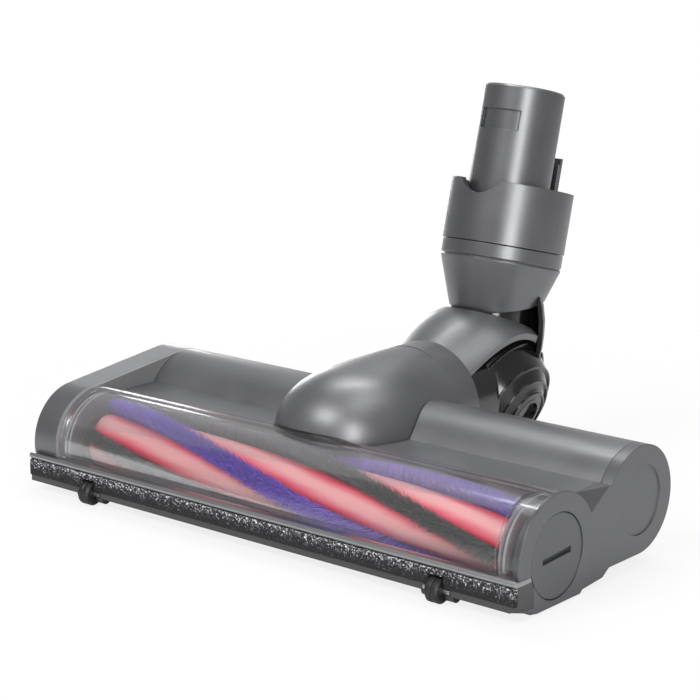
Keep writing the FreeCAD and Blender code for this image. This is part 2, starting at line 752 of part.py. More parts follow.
def elbow():
    """Swivelling elbow with its hood, inner sleeve and pivot ears."""
    skin = hood_form(0).cut(hood_form(hood_wall))
    tube = skin.common(box(-60, 60, 0, collar_rear, -60, 120))
    hood = skin.common(hood_sector()).cut(neck_slot())
    hood = hood.Solids[0] if len(hood.Solids) == 1 else max(hood.Solids, key=lambda piece: piece.Volume)
    y0 = swivel_y + loose_gap
    web = rod_y(y0, y0 + 2.4, 0, swivel_z, swivel_r - 0.5).cut(rod_y(y0 - 1, y0 + 4, 0, swivel_z, sleeve_r - sleeve_wall))
    sleeve = rod_y(sleeve_front, y0 + 1, 0, swivel_z, sleeve_r)
    sleeve = sleeve.cut(rod_y(sleeve_front - 1, y0 + 4, 0, swivel_z, sleeve_r - sleeve_wall))
    pieces = [tube, hood, web, sleeve]
    bore = rod_y(0, 200, 0, swivel_z, sleeve_r - sleeve_wall - 1.2)
    for side in (-1, 1):
        x0 = side * ear_inner
        x1 = side * (ear_inner + ear_wall)
        lo, hi = min(x0, x1), max(x0, x1)
        arm = box(lo, hi, y0 + 1, pivot_y, pivot_z - ear_half_height, pivot_z + ear_half_height)
        eye = rod_x(lo, hi, pivot_y, pivot_z, ear_half_height)
        ear = fuse([arm, eye]).cut(rod_x(lo - 1, hi + 1, pivot_y, pivot_z, pin_r))
        foot = box(min(x0, side * 19), max(x0, side * 19), y0 + 0.5, y0 + 4, pivot_z - 3, pivot_z + 3)
        pieces.append(ear)
        pieces.append(foot)
    return fuse(pieces)


def snap_ring():
    """Ring clipped on the sleeve's end, which holds the elbow in the cowl."""
    y0 = sleeve_front + 1.0
    ring = rod_y(y0, y0 + 2.9, 0, swivel_z, sleeve_r + 1.2)
    return ring.cut(rod_y(0, 90, 0, swivel_z, sleeve_r + joint_gap / 2))


def pivot_pins():
    """Two short pins on the tilt axis."""
    pins = []
    for side in (-1, 1):
        inner = side * (arm_inner - 0.4)
        outer = side * (ear_inner + ear_wall + 0.6)
        pins.append(rod_x(min(inner, outer), max(inner, outer), pivot_y, pivot_z, pin_r - 0.02))
    return Part.Compound(pins)


def boot_half(side):
    """One side of the ribbed boot: stepped rings turned about a sloping side axis."""
    profile = [(-12.0, 0.0), (-12.0, boot_r - 3.3), (-6.0, boot_r - 0.8), (0.0, boot_r),
               (boot_ridges[0][0] - 1.4, boot_ridges[0][1] + 0.7)]
    last = len(boot_ridges) - 1
    for index, (along, radius) in enumerate(boot_ridges):
        profile.append((along, radius))
        profile.append((along + 0.1, radius - 1.1))
        if index < last:
            next_along, next_radius = boot_ridges[index + 1]
            profile.append((along + 0.45 * (next_along - along), radius - 1.5 - 0.25 * (radius - next_radius)))
    deep = boot_ridges[last][0] - 1.8
    profile.append((deep, boot_ridges[last][1] - 1.6))
    profile.append((deep, 0.0))
    lean = math.atan(boot_slope)
    axis = Vector(side * math.cos(lean), 0, -math.sin(lean))
    across = Vector(0, 1, 0)
    centre = Vector(0, boot_y, boot_z)
    points = [centre + axis * along + across * radius for along, radius in profile]
    outline = Part.makePolygon(points + points[:1])
    half = Part.Face(outline).revolve(centre, axis, 360)
    return half.common(box(min(0, side * 40), max(0, side * 40), 60, 150, -20, 80))


def flex_boot():
    """Ribbed rubber boot that carries the air round the joint."""
    front = rod_y(swivel_y + loose_gap + 5.0, boot_y - 7.5, 0, swivel_z, boot_neck_r)
    stub = leaned(rod_z(12, cone_high - 6.0, 0, 0, boot_stub_r), neck_shift)
    body = fuse([boot_half(1), boot_half(-1), front, stub])
    hollow = Part.makeSphere(boot_r - 0.4 - boot_wall - 1.2, Vector(0, boot_y, boot_z))
    hollow = hollow.common(box(-boot_ridges[1][0] + 0.6, boot_ridges[1][0] - 0.6, 60, 150, -20, 80))
    front_bore = rod_y(swivel_y, boot_y, 0, swivel_z, boot_neck_r - boot_stub_wall)
    stub_bore = leaned(rod_z(0, cone_high, 0, 0, boot_stub_r - boot_stub_wall), neck_shift)
    body = body.cut(fuse([hollow, front_bore, stub_bore]))
    body = body.cut(shield_form(loose_gap))
    body = body.cut(leaned(cone_room()))
    return max(body.Solids, key=lambda piece: piece.Volume)


def ring_x(profile, centre_v):
    """A neck piece turned about the neck's own axis, from (radius, height) points."""
    points = [Vector(r, centre_v, s) for r, s in profile]
    outline = Part.makePolygon(points + points[:1])
    return Part.Face(outline).revolve(Vector(0, centre_v, 0), Z_AXIS, 360)


def cone_form(grow, trim):
    """Solid outer shape of the cone and band."""
    form = ring_x([(0, cone_low + trim), (cone_low_r + grow, cone_low + trim), (band_r + grow, cone_high),
                   (band_r + grow, band_high), (0, band_high)], neck_shift)
    return form.cut(cone_underside(-trim))


def cone_underside(drop):
    """The room under the cone, whose lower edge rises towards the back."""
    front = neck_shift - cone_low_r - 3
    back = neck_shift + band_r + 3
    rise = (cone_back - cone_low) / (2 * cone_low_r)
    low = cone_low - 3 * rise - drop
    high = low + rise * (back - front)
    outline = [Vector(-40, front, low - 30), Vector(-40, back, low - 30), Vector(-40, back, high),
               Vector(-40, front, low)]
    return Part.Face(Part.makePolygon(outline + outline[:1])).extrude(Vector(80, 0, 0))


def cone_room():
    """The cone's wall and arms with a little room round them, which the boot leaves free."""
    wall_room = ring_x([(cone_low_r - wall - loose_gap, cone_low - 1), (cone_low_r + loose_gap, cone_low - 1),
                        (band_r + loose_gap, cone_high), (band_r - wall - loose_gap, cone_high)], neck_shift)
    rooms = [wall_room.cut(cone_underside(0.5))]
    for side in (-1, 1):
        x0 = side * (arm_inner - loose_gap)
        x1 = side * (arm_inner + arm_wall + loose_gap)
        reach = arm_half_width + loose_gap
        rooms.append(box(min(x0, x1), max(x0, x1), -reach, reach, 10, cone_high))
        x1 = side * (cone_low_r + 2)
        rooms.append(box(min(x0, x1), max(x0, x1), -reach, reach, cone_low + 7 - loose_gap, cone_high))
    return rooms[0].multiFuse(rooms[1:])


def neck_cone():
    """Lower neck: cone and band, with the two pivot arms inside."""
    w = wall
    shell = ring_x([(cone_low_r - w, cone_low), (cone_low_r, cone_low), (band_r, cone_high - 0.9),
                    (band_r - 0.5, cone_high - 0.3), (band_r, cone_high + 0.3), (band_r, band_high),
                    (0, band_high), (0, band_high - w), (band_r - w, band_high - w),
                    (band_r - w, cone_high)], neck_shift)
    bore = rod_z(band_high - w - 1, band_high + 1, 0, spigot_shift, spigot_r - spigot_wall)
    pieces = [shell.cut(bore).cut(cone_underside(0))]
    for side in (-1, 1):
        x0 = side * arm_inner
        x1 = side * (arm_inner + arm_wall)
        lo, hi = min(x0, x1), max(x0, x1)
        arm = box(lo, hi, -arm_half_width, arm_half_width, 0, cone_low + 13)
        eye = rod_x(lo, hi, 0, 0, arm_half_width)
        arm = fuse([arm, eye]).cut(rod_x(lo - 1, hi + 1, 0, 0, pin_r + running_gap))
        foot = box(min(x0, side * 16.4), max(x0, side * 16.4), -arm_half_width, arm_half_width, cone_low + 7, cone_low + 13)
        pieces.append(arm)
        pieces.append(foot)
    return leaned(fuse(pieces))


def shield_form(grow):
    """Barrel-shaped shell behind the joint, upright on the pivot, with room round it."""
    outer = [(radius + grow, z) for z, radius in shield_profile]
    inner = [(radius - shield_wall - grow, z) for z, radius in reversed(shield_profile)]
    points = [Vector(r, pivot_y, z) for r, z in outer + inner]
    shell = Part.Face(Part.makePolygon(points + points[:1])).revolve(Vector(0, pivot_y, 0), Z_AXIS, 360)
    return shell.cut(box(-60, 60, pivot_y - 60, pivot_y + shield_front - grow, -20, 90))


def neck_shield():
    """Curved shield that hangs behind the joint."""
    return shield_form(0).cut(leaned(cone_form(loose_gap, -0.5)))


def neck_collar():
    """Wide cup round the foot of the spigot, scalloped at the front."""
    low = band_high + loose_gap
    inner = collar_r - collar_wall
    cup = ring_x([(0, low), (collar_r, low), (collar_r, collar_high), (inner, collar_high),
                  (inner, low + 2.0), (0, low + 2.0)], neck_shift)
    cup = cup.cut(rod_z(low - 1, low + 3, 0, spigot_shift, spigot_r - spigot_wall))
    drop = collar_high + scallop_r - scallop_depth
    scallop = rod_y(-40, 0, 0, drop, scallop_r)
    return leaned(cup.cut(scallop))


def spigot():
    """Round spigot that enters the cleaner's tube, with the latch recess in front."""
    low = band_high + loose_gap + 2.0 + joint_gap
    tip = 0.8
    tube = ring_x([(spigot_r - spigot_wall, low), (spigot_r + 1.3, low), (spigot_r + 1.3, low + 2.5),
                   (spigot_r, low + 2.5), (spigot_r, spigot_high - tip), (spigot_r - tip, spigot_high),
                   (spigot_r - spigot_wall, spigot_high)], 0)
    floor = rod_z(recess_low - 1, recess_high + 1, 0, 0, spigot_r - recess_depth)
    recess = box(-recess_half_width, recess_half_width, -spigot_r - 1, 0, recess_low, recess_high).cut(floor)
    return leaned(tube.cut(recess), spigot_shift)


def connector_shroud():
    """Flat tongue behind the spigot that guards the contacts."""
    low = band_high + loose_gap + 2.0 + joint_gap
    tongue = box(-shroud_half_width, shroud_half_width, shroud_back - shroud_wall, shroud_back, low, shroud_high)
    cheeks = []
    for side in (-1, 1):
        x = side * shroud_half_width
        cheeks.append(box(min(x, x - side * 1.2), max(x, x - side * 1.2), shroud_back - 2.6, shroud_back,
                          low, shroud_high - 2.5))
    foot = box(-shroud_half_width, shroud_half_width, spigot_r + 1.6, shroud_back, low, low + 3)
    room = rod_z(0, shroud_high + 1, 0, neck_shift - spigot_shift, collar_r - collar_wall - joint_gap)
    return leaned(fuse([tongue, foot] + cheeks).common(room), spigot_shift)


def contact_pins():
    """Three contact blades between the spigot and the tongue."""
    low = band_high + loose_gap + 2.0 + joint_gap + 3.0
    return Part.Compound([leaned(box(x - 0.5, x + 0.5, spigot_r + 2.15, spigot_r + 2.95, low, collar_high + 2.0),
                                 spigot_shift) for x in (-3.0, 0.0, 3.0)])


def make_parts():
    """Every piece by its node name."""
    parts["main_housing"] = main_housing()
    parts["right_end_plate"] = right_end_plate()
    parts["left_cheek"] = left_cheek()
    parts["belt_plate"] = belt_plate()
    parts["window"] = window()
    parts["front_lip"] = front_lip()
    parts["flocked_strip"] = flocked_strip()
    parts["sole_plate"] = sole_plate()
    parts["sole_felt"] = sole_felt()
    parts["cover_screws"] = cover_screws()
    parts["cowl"] = cowl()
    parts["swivel_ring"] = swivel_ring()
    parts["motor_can"] = motor_can()
    parts["motor_end_bell"] = motor_end_bell()
    parts["motor_magnets"] = motor_magnets()
    parts["motor_cradle"] = motor_cradle()
    parts["motor_rotor"] = motor_rotor()
    parts["motor_pulley"] = flanged_pulley(barrel_y, barrel_z, motor_pulley_r, shaft_r + 0.02)
    parts["drive_belt"] = drive_belt()
    parts["control_board"] = control_board()
    parts["brush_bearing"] = brush_bearing()
    parts["front_axles"] = front_axles()
    parts["rear_axles"] = rear_axles()
    parts["brush_core"] = brush_core()
    names = ("nylon_row_front", "carbon_row_top", "nylon_row_back", "carbon_row_rear", "carbon_row_low")
    for index, name in enumerate(names):
        parts[name] = bristle_strip(index)
    parts["brush_hub"] = brush_hub()
    parts["brush_end_pin"] = brush_end_pin()
    parts["end_cap"] = end_cap()
    parts["cap_bush"] = cap_bush()
    parts["elbow"] = elbow()
    parts["snap_ring"] = snap_ring()
    parts["pivot_pins"] = pivot_pins()
    parts["flex_boot"] = flex_boot()
    parts["neck_cone"] = neck_cone()
    parts["neck_shield"] = neck_shield()
    parts["neck_collar"] = neck_collar()
    parts["spigot"] = spigot()
    parts["connector_shroud"] = connector_shroud()
    parts["contact_pins"] = contact_pins()
    for side, name in ((-1, "left"), (1, "right")):
        parts["front_roller_" + name] = wheel(side * roller_x, roller_y, roller_r, roller_width,
                                              roller_pin_r + running_gap, 0.6)
        parts["rear_wheel_" + name] = wheel(side * wheel_x, wheel_y, wheel_r, wheel_width,
                                            wheel_pin_r + running_gap, 1.0)


def save():
    """Moves the origin to the middle of the footprint and writes one file for each piece."""
    front = parts["front_roller_left"].BoundBox.YMin
    rear = parts["neck_collar"].optimalBoundingBox().YMax
    shift = Vector(0, -(front + rear) / 2, 0)
    print("shift", shift)
    os.makedirs("parts", exist_ok=True)
    for name, shape in parts.items():
        placed = shape.copy()
        placed.translate(shift)
        print(name, len(placed.Solids), placed.isValid(), round(placed.Volume, 1))
        placed.exportStep("parts/" + name + ".step")


make_parts()
save()
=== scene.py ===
import math
import random

import bmesh
import bpy
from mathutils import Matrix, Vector
from mathutils.bvhtree import BVHTree


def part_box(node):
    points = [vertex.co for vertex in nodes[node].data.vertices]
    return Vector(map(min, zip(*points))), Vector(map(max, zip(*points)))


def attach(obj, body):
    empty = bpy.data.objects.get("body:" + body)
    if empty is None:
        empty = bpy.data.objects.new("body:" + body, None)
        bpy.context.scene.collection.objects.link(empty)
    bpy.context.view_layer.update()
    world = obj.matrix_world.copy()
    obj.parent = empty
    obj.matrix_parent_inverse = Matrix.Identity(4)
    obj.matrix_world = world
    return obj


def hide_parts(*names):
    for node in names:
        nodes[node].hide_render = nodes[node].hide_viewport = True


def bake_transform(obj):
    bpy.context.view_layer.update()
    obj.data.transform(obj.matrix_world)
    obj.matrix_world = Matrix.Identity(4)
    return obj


# Looks of the vacuum turbo brush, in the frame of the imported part
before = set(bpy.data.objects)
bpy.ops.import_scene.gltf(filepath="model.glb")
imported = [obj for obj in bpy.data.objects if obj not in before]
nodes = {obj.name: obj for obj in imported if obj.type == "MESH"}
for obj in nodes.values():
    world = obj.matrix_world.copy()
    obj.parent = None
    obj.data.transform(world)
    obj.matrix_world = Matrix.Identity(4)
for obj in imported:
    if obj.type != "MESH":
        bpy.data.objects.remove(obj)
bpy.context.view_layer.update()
random.seed(11)

# Sizes are millimetres of the drawing, with Y = 0 on the brush axis, and angles are degrees, unless a
# comment says otherwise. place() turns a point of the drawing into metres in the frame.
mm = 0.001
middle_y = 59.160867

# Camera, from the fit of the drawing to the picture
camera_place = (453.56, -516.47, 229.78)
camera_down = 13.51
camera_turn = 40.26
camera_lens = 111.46
camera_sensor = 36
camera_shift = (0.0269, -0.0061)

# Brush chamber, window and front lip
brush_z = 16.0
window_r = 19.3
window_wall = 1.5
chamber_r = 18.6
lip_rib_low = 11.4
strip_low = 5.4
strip_high = 11.0

# Brush bar: five bands between five rows, which turn by strip_twist for each millimetre along it
core_r = 10.6
core_right = 93.2
core_groove = 0.9
core_crown = 1.5
crown_power = 0.6
core_end_drop = 3.2
core_end_length = 2.4
row_count = 5
row_step = 360 / row_count
strip_twist = 0.95
strip_phase = 17.0

# Strands of the rows
row_left = -86.5
row_right = 91.5
strand_root_r = 10.0
strand_tip_r = 16.1
strand_low = 0.3

# Rubber boot: stepped ribs about two axes that slope down to the sides, as (along the axis, radius)
boot_y = 105.0
boot_z = 31.0
boot_slope = 0.42
boot_ribs = ((8.8, 22.8), (16.4, 17.6), (19.2, 13.2), (21.0, 9.2))
boot_longest_edge = 3.0
bead_r = 0.55
bead_sink = 0.2
bead_stray = 0.7
bead_room = 0.9
bead_split = 0.4

# Numbers of steps in the made meshes, and the angles above which an edge stays sharp
core_steps = 120
core_sides = 160
bead_turns = 144
bead_sides = 8
ring_turns = 120
sharp_solid = 32
sharp_core = 50
sharp_ring = 40


def place(x, y, z):
    """A point of the drawing, in metres in the frame."""
    return Vector((x * mm, (y - middle_y) * mm, z * mm))


def round_brush(x, radius, turn):
    """The drawing's point at a radius and an angle, in radians, round the brush axis."""
    return (x, -radius * math.cos(turn), brush_z + radius * math.sin(turn))


def link_new(name, data):
    """A new object in the scene."""
    item = bpy.data.objects.new(name, data)
    bpy.context.scene.collection.objects.link(item)
    return item


def new_mesh(name, points, faces):
    """A smooth mesh object from points in metres."""
    mesh = bpy.data.meshes.new(name)
    mesh.from_pydata([tuple(point) for point in points], [], faces)
    mesh.update()
    for polygon in mesh.polygons:
        polygon.use_smooth = True
    return link_new(name, mesh)


# Shader nodes

noise_low = 0.3
noise_high = 0.7
bevel_samples = 4

# Sockets of the Mix node
mix_share = 0
mix_value_first = 2
mix_value_second = 3
mix_colour_first = 6
mix_colour_second = 7
mix_value_result = 0
mix_colour_result = 2


def grey(value):
    """A neutral colour."""
    return (value, value, value)


def darker(colour, share):
    """A colour times a share."""
    return tuple(part * share for part in colour)


def shader(name):
    """A new material with its node tree and main shader."""
    material = bpy.data.materials.new(name)
    material.use_nodes = True
    tree = material.node_tree
    return material, tree, tree.nodes["Principled BSDF"]


def feed(tree, socket, value):
    """Gives an input a plain value, or links another node's output to it."""
    if isinstance(value, bpy.types.NodeSocket):
        tree.links.new(value, socket)
    else:
        socket.default_value = value


def add_node(tree, kind, inputs, **settings):
    """A new node with its settings, and its inputs as values or other nodes' outputs."""
    node = tree.nodes.new(kind)
    for name, value in settings.items():
        setattr(node, name, value)
    for socket, value in inputs.items():
        feed(tree, node.inputs[socket], value)
    return node


def coordinates(tree):
    """Object coordinates, which are the frame's."""
    return add_node(tree, "ShaderNodeTexCoord", {}).outputs["Object"]


def axis_values(tree):
    """The X, Y and Z of a place on the piece."""
    return add_node(tree, "ShaderNodeSeparateXYZ", {"Vector": coordinates(tree)}).outputs


def height(tree):
    """How high a place is."""
    return axis_values(tree)["Z"]


def axis_distance(tree):
    """How far a place is from the brush axis."""
    spot = axis_values(tree)
    across = add_node(tree, "ShaderNodeCombineXYZ", {"Y": spot["Y"], "Z": spot["Z"]}).outputs[0]
    axis = (0, -middle_y * mm, brush_z * mm)
    node = add_node(tree, "ShaderNodeVectorMath", {0: across, 1: axis}, operation="DISTANCE")
    return node.outputs["Value"]


def calculate(tree, kind, *values):
    """A sum or another operation on values."""
    return add_node(tree, "ShaderNodeMath", dict(enumerate(values)), operation=kind).outputs[0]


def map_range(tree, source, start, end, low, high):
    """A value between start and end turned into one between low and high."""
    inputs = {"Value": source, "From Min": start, "From Max": end, "To Min": low, "To Max": high}
    return add_node(tree, "ShaderNodeMapRange", inputs).outputs["Result"]


def noise(tree, scale, detail, stretch=None, rough=0.5):
    """A noise over the piece, stretched along the axes where asked."""
    spot = coordinates(tree)
    if stretch:
        spot = add_node(tree, "ShaderNodeMapping", {"Vector": spot, "Scale": stretch}).outputs["Vector"]
    inputs = {"Vector": spot, "Scale": scale, "Detail": detail, "Roughness": rough}
    return add_node(tree, "ShaderNodeTexNoise", inputs).outputs["Fac"]


def ramp(tree, source, stops):
    """Colours along a value, from pairs of a position and a colour."""
    node = add_node(tree, "ShaderNodeValToRGB", {"Fac": source})
    elements = node.color_ramp.elements
    while len(elements) > 1:
        elements.remove(elements[-1])
    elements[0].position, first_colour = stops[0]
    elements[0].color = (*first_colour, 1)
    for position, colour in stops[1:]:
        elements.new(position).color = (*colour, 1)
    return node.outputs["Color"]


def two_tone(tree, source, dark, light):
    """A noise as colours from dark to light."""
    return ramp(tree, source, [(noise_low, dark), (noise_high, light)])


def spread(tree, source, low, high):
    """A noise as values from low to high."""
    return map_range(tree, source, noise_low, noise_high, low, high)


def mix_colours(tree, share, first, second, kind="MIX"):
    """Two colours mixed or multiplied by a share."""
    inputs = {mix_share: share, mix_colour_first: first, mix_colour_second: second}
    node = add_node(tree, "ShaderNodeMix", inputs, data_type="RGBA", blend_type=kind)
    return node.outputs[mix_colour_result]


def mix_shaders(tree, share, first, second):
    """Two shaders mixed by a share."""
    return add_node(tree, "ShaderNodeMixShader", {0: share, 1: first, 2: second}).outputs[0]


def soft_edges(tree, radius):
    """The surface's direction with its edges rounded by a radius."""
    node = add_node(tree, "ShaderNodeBevel", {"Radius": radius * mm}, samples=bevel_samples)
    return node.outputs["Normal"]


def raised(tree, value, strength, depth, **more):
    """The surface's direction with a value as its relief, and with more inputs where given."""
    inputs = {"Height": value, "Strength": strength, "Distance": depth * mm, **more}
    return add_node(tree, "ShaderNodeBump", inputs).outputs["Normal"]


# Materials

def moulded(name, colour, rough, metallic=0.0, fleck=0.12, bump=0.02, grain=9000, coat=0.0, edge=0.25):
    """Moulded plastic: a fine fleck, a broad unevenness, a faint grain and softened edges."""
    broad_scale = 60
    broad_share = 0.35
    broad_dark = 0.8
    rough_change = 0.08
    coat_rough = 0.18
    grain_depth = 0.2
    material, tree, main = shader(name)
    fine = noise(tree, grain, 2.0)
    broad = noise(tree, broad_scale, 3.0)
    light = tuple(min(1, part * (1 + fleck)) for part in colour)
    flecks = two_tone(tree, fine, darker(colour, 1 - fleck), light)
    clouds = two_tone(tree, broad, grey(broad_dark), grey(1))
    feed(tree, main.inputs["Base Color"], mix_colours(tree, broad_share, flecks, clouds, "MULTIPLY"))
    rough_low = rough * (1 - rough_change)
    rough_high = rough * (1 + rough_change)
    feed(tree, main.inputs["Roughness"], spread(tree, broad, rough_low, rough_high))
    main.inputs["Metallic"].default_value = metallic
    main.inputs["Coat Weight"].default_value = coat
    main.inputs["Coat Roughness"].default_value = coat_rough
    feed(tree, main.inputs["Normal"], raised(tree, fine, bump, grain_depth, Normal=soft_edges(tree, edge)))
    return material


def metal(name, colour, rough):
    """Turned or plated metal with fine tool marks along X."""
    mark_scale = 900
    mark_stretch = (1, 12, 12)
    mark_dark = 0.85
    rough_change = 0.2
    material, tree, main = shader(name)
    marks = noise(tree, mark_scale, 4.0, mark_stretch)
    feed(tree, main.inputs["Base Color"], two_tone(tree, marks, darker(colour, mark_dark), colour))
    rough_low = rough * (1 - rough_change)
    rough_high = rough * (1 + rough_change)
    feed(tree, main.inputs["Roughness"], spread(tree, marks, rough_low, rough_high))
    main.inputs["Metallic"].default_value = 1.0
    return material


def fibre(name, root, tip):
    """Strands that change from their root colour to their tip colour, varied from strand to strand; the
    darker root is painted shade deep in the row.
    """
    streak_scale = 1500
    streak_dark = 0.8
    strand_dark = 0.65
    strand_light = 1.3
    fibre_rough = 0.5
    material, tree, main = shader(name)
    shade = add_node(tree, "ShaderNodeVertexColor", {}, layer_name="shade").outputs["Color"]
    shade_parts = add_node(tree, "ShaderNodeSeparateColor", {"Color": shade}).outputs
    along = ramp(tree, shade_parts["Red"], [(0.0, root), (1.0, tip)])
    streaks = two_tone(tree, noise(tree, streak_scale, 2.0), grey(streak_dark), grey(1))
    tones = ramp(tree, shade_parts["Green"], [(0.0, grey(strand_dark)), (1.0, grey(strand_light))])
    streaked = mix_colours(tree, 1.0, along, streaks, "MULTIPLY")
    feed(tree, main.inputs["Base Color"], mix_colours(tree, 1.0, streaked, tones, "MULTIPLY"))
    main.inputs["Roughness"].default_value = fibre_rough
    return material


def clear_cover(name, tint, veil, skin):
    """Clear plastic: see-through, milky by the share veil, with a polished skin that mirrors at a slant."""
    haze_scale = 40
    haze_stretch = (0.25, 1, 1)
    haze_dark = 0.97
    milk_dark = (0.62, 0.63, 0.64)
    milk_light = (0.72, 0.73, 0.74)
    gloss_rough = (0.10, 0.18)
    skin_ior = 1.4
    edge = 0.5
    material, tree, main = shader(name)
    tree.nodes.remove(main)
    haze = noise(tree, haze_scale, 4.0, haze_stretch)
    tinted = {"Color": two_tone(tree, haze, darker(tint, haze_dark), tint)}
    through = add_node(tree, "ShaderNodeBsdfTransparent", tinted).outputs[0]
    milky = {"Color": two_tone(tree, haze, milk_dark, milk_light)}
    milk = add_node(tree, "ShaderNodeBsdfDiffuse", milky).outputs[0]
    body = mix_shaders(tree, veil, through, milk)
    soft = soft_edges(tree, edge)
    polished = {"Color": (1, 1, 1, 1), "Roughness": spread(tree, haze, *gloss_rough), "Normal": soft}
    gloss = add_node(tree, "ShaderNodeBsdfGlossy", polished).outputs[0]
    slant = add_node(tree, "ShaderNodeFresnel", {"IOR": skin_ior, "Normal": soft}).outputs["Fac"]
    mirror = calculate(tree, "MULTIPLY", slant, skin)
    feed(tree, tree.nodes["Material Output"].inputs["Surface"], mix_shaders(tree, mirror, body, gloss))
    return material


def helix_bands(name, edge, middle, light):
    """The bar's colour: its edge colour beside the rows, which is painted shade from the strands, pale along
    each band's middle, which is painted light, with streaks.
    """
    ten_turns = 3600
    streak_scale = 260
    streak_stretch = (0.18, 1, 1)
    streak_wander = 0.22
    streak_rough = (0.3, 0.45)
    streak_bump = 0.25
    streak_depth = 0.4
    stops = [(0.14, edge), (0.24, middle), (0.42, light), (0.62, light), (0.78, middle), (0.88, edge)]
    material, tree, main = shader(name)
    spot = axis_values(tree)
    front = calculate(tree, "MULTIPLY", calculate(tree, "ADD", spot["Y"], middle_y * mm), -1.0)
    up = calculate(tree, "SUBTRACT", spot["Z"], brush_z * mm)
    angle = calculate(tree, "MULTIPLY", calculate(tree, "ARCTAN2", up, front), 180 / math.pi)
    turned = calculate(tree, "ADD", angle, calculate(tree, "MULTIPLY", spot["X"], strip_twist / mm))
    above_zero = calculate(tree, "ADD", turned, ten_turns - strip_phase)
    share = calculate(tree, "FRACT", calculate(tree, "DIVIDE", above_zero, row_step))
    streak = noise(tree, streak_scale, 4.0, streak_stretch)
    wander = calculate(tree, "MULTIPLY", calculate(tree, "SUBTRACT", streak, 0.5), streak_wander)
    feed(tree, main.inputs["Base Color"], ramp(tree, calculate(tree, "ADD", share, wander), stops))
    feed(tree, main.inputs["Roughness"], spread(tree, streak, *streak_rough))
    feed(tree, main.inputs["Normal"], raised(tree, streak, streak_bump, streak_depth))
    return material


def speckled(name):
    """Flocked strip: black pile with light strands standing out, more of them towards its top."""
    fleck_scale = 1400
    fleck_rough = 0.7
    pile_scale = 1900
    pile_rough = 0.75
    pile_bump = 0.9
    pile_depth = 0.6
    fewer_low = -0.16
    more_high = 0.07
    stops = [(0.0, (0.004, 0.004, 0.005)), (0.5, (0.012, 0.012, 0.014)), (0.6, (0.2, 0.2, 0.21)),
             (0.68, (0.9, 0.91, 0.95))]
    material, tree, main = shader(name)
    fine = noise(tree, fleck_scale, 3.0, rough=fleck_rough)
    more = map_range(tree, height(tree), strip_low * mm, strip_high * mm, fewer_low, more_high)
    feed(tree, main.inputs["Base Color"], ramp(tree, calculate(tree, "ADD", fine, more), stops))
    main.inputs["Roughness"].default_value = pile_rough
    pile_inputs = {"Vector": coordinates(tree), "Scale": pile_scale}
    pile = add_node(tree, "ShaderNodeTexVoronoi", pile_inputs).outputs["Distance"]
    feed(tree, main.inputs["Normal"], raised(tree, pile, pile_bump, pile_depth))
    return material


def change_within(material, measure, limit, colour, metallic):
    """Changes a moulded finish where a measure of the place is under a limit."""
    half_blend = 0.1
    tree = material.node_tree
    main = tree.nodes["Principled BSDF"]
    inside = map_range(tree, measure(tree), (limit - half_blend) * mm, (limit + half_blend) * mm, 1.0, 0.0)
    before = main.inputs["Base Color"].links[0].from_socket
    feed(tree, main.inputs["Base Color"], mix_colours(tree, inside, before, (*colour, 1)))
    shine_inputs = {mix_share: inside, mix_value_first: main.inputs["Metallic"].default_value,
                    mix_value_second: metallic}
    shine = add_node(tree, "ShaderNodeMix", shine_inputs).outputs[mix_value_result]
    feed(tree, main.inputs["Metallic"], shine)


satin = {"fleck": 0.10, "bump": 0.015, "grain": 7000, "coat": 0.1, "edge": 0.4}
plate_satin = {**satin, "edge": 0.7}
cap_satin = {**satin, "bump": 0.02, "coat": 0.05, "edge": 0.3}
soft_rubber = {"fleck": 0.2, "bump": 0.03, "grain": 2500, "coat": 0.5, "edge": 0.5}

body_grey = moulded("body_grey", (0.195, 0.197, 0.202), 0.42, metallic=0.8, **satin)
housing_painted_pale_inside = moulded("housing_painted_pale_inside", (0.195, 0.197, 0.202), 0.42, metallic=0.8, **satin)
# The end plate's darker grey is painted shade on the end face
shaded_plate_grey = moulded("shaded_plate_grey", (0.14, 0.142, 0.147), 0.4, metallic=0.65, **plate_satin)
# The lip is black: this light grey with a metal sheen is a painted highlight, kept above its rib
lip_painted_highlight = moulded("lip_painted_highlight", (0.34, 0.342, 0.35), 0.3, metallic=0.85, **satin)
inner_grey = moulded("inner_grey", (0.2, 0.202, 0.204), 0.5, fleck=0.10, bump=0.015, grain=3000)
cap_grey = moulded("cap_grey", (0.13, 0.132, 0.137), 0.4, metallic=0.65, **cap_satin)
neck_grey = moulded("neck_grey", (0.18, 0.182, 0.187), 0.38, metallic=0.85, **satin)
joint_black = moulded("joint_black", (0.06, 0.06, 0.062), 0.35, metallic=0.5)
inner_black = moulded("inner_black", (0.02, 0.02, 0.022), 0.5)
rubber_black = moulded("rubber_black", (0.008, 0.008, 0.009), 0.14, **soft_rubber)
tread_black = moulded("tread_black", (0.012, 0.012, 0.013), 0.45, fleck=0.2, bump=0.2, grain=1500)
felt = moulded("felt", (0.05, 0.05, 0.05), 0.95, fleck=0.5, bump=0.9, grain=2500)
belt_rubber = moulded("belt_rubber", (0.02, 0.02, 0.02), 0.6, fleck=0.2, bump=0.3, grain=1200)
board_green = moulded("board_green", (0.03, 0.16, 0.07), 0.45, fleck=0.3, bump=0.2, grain=1500)
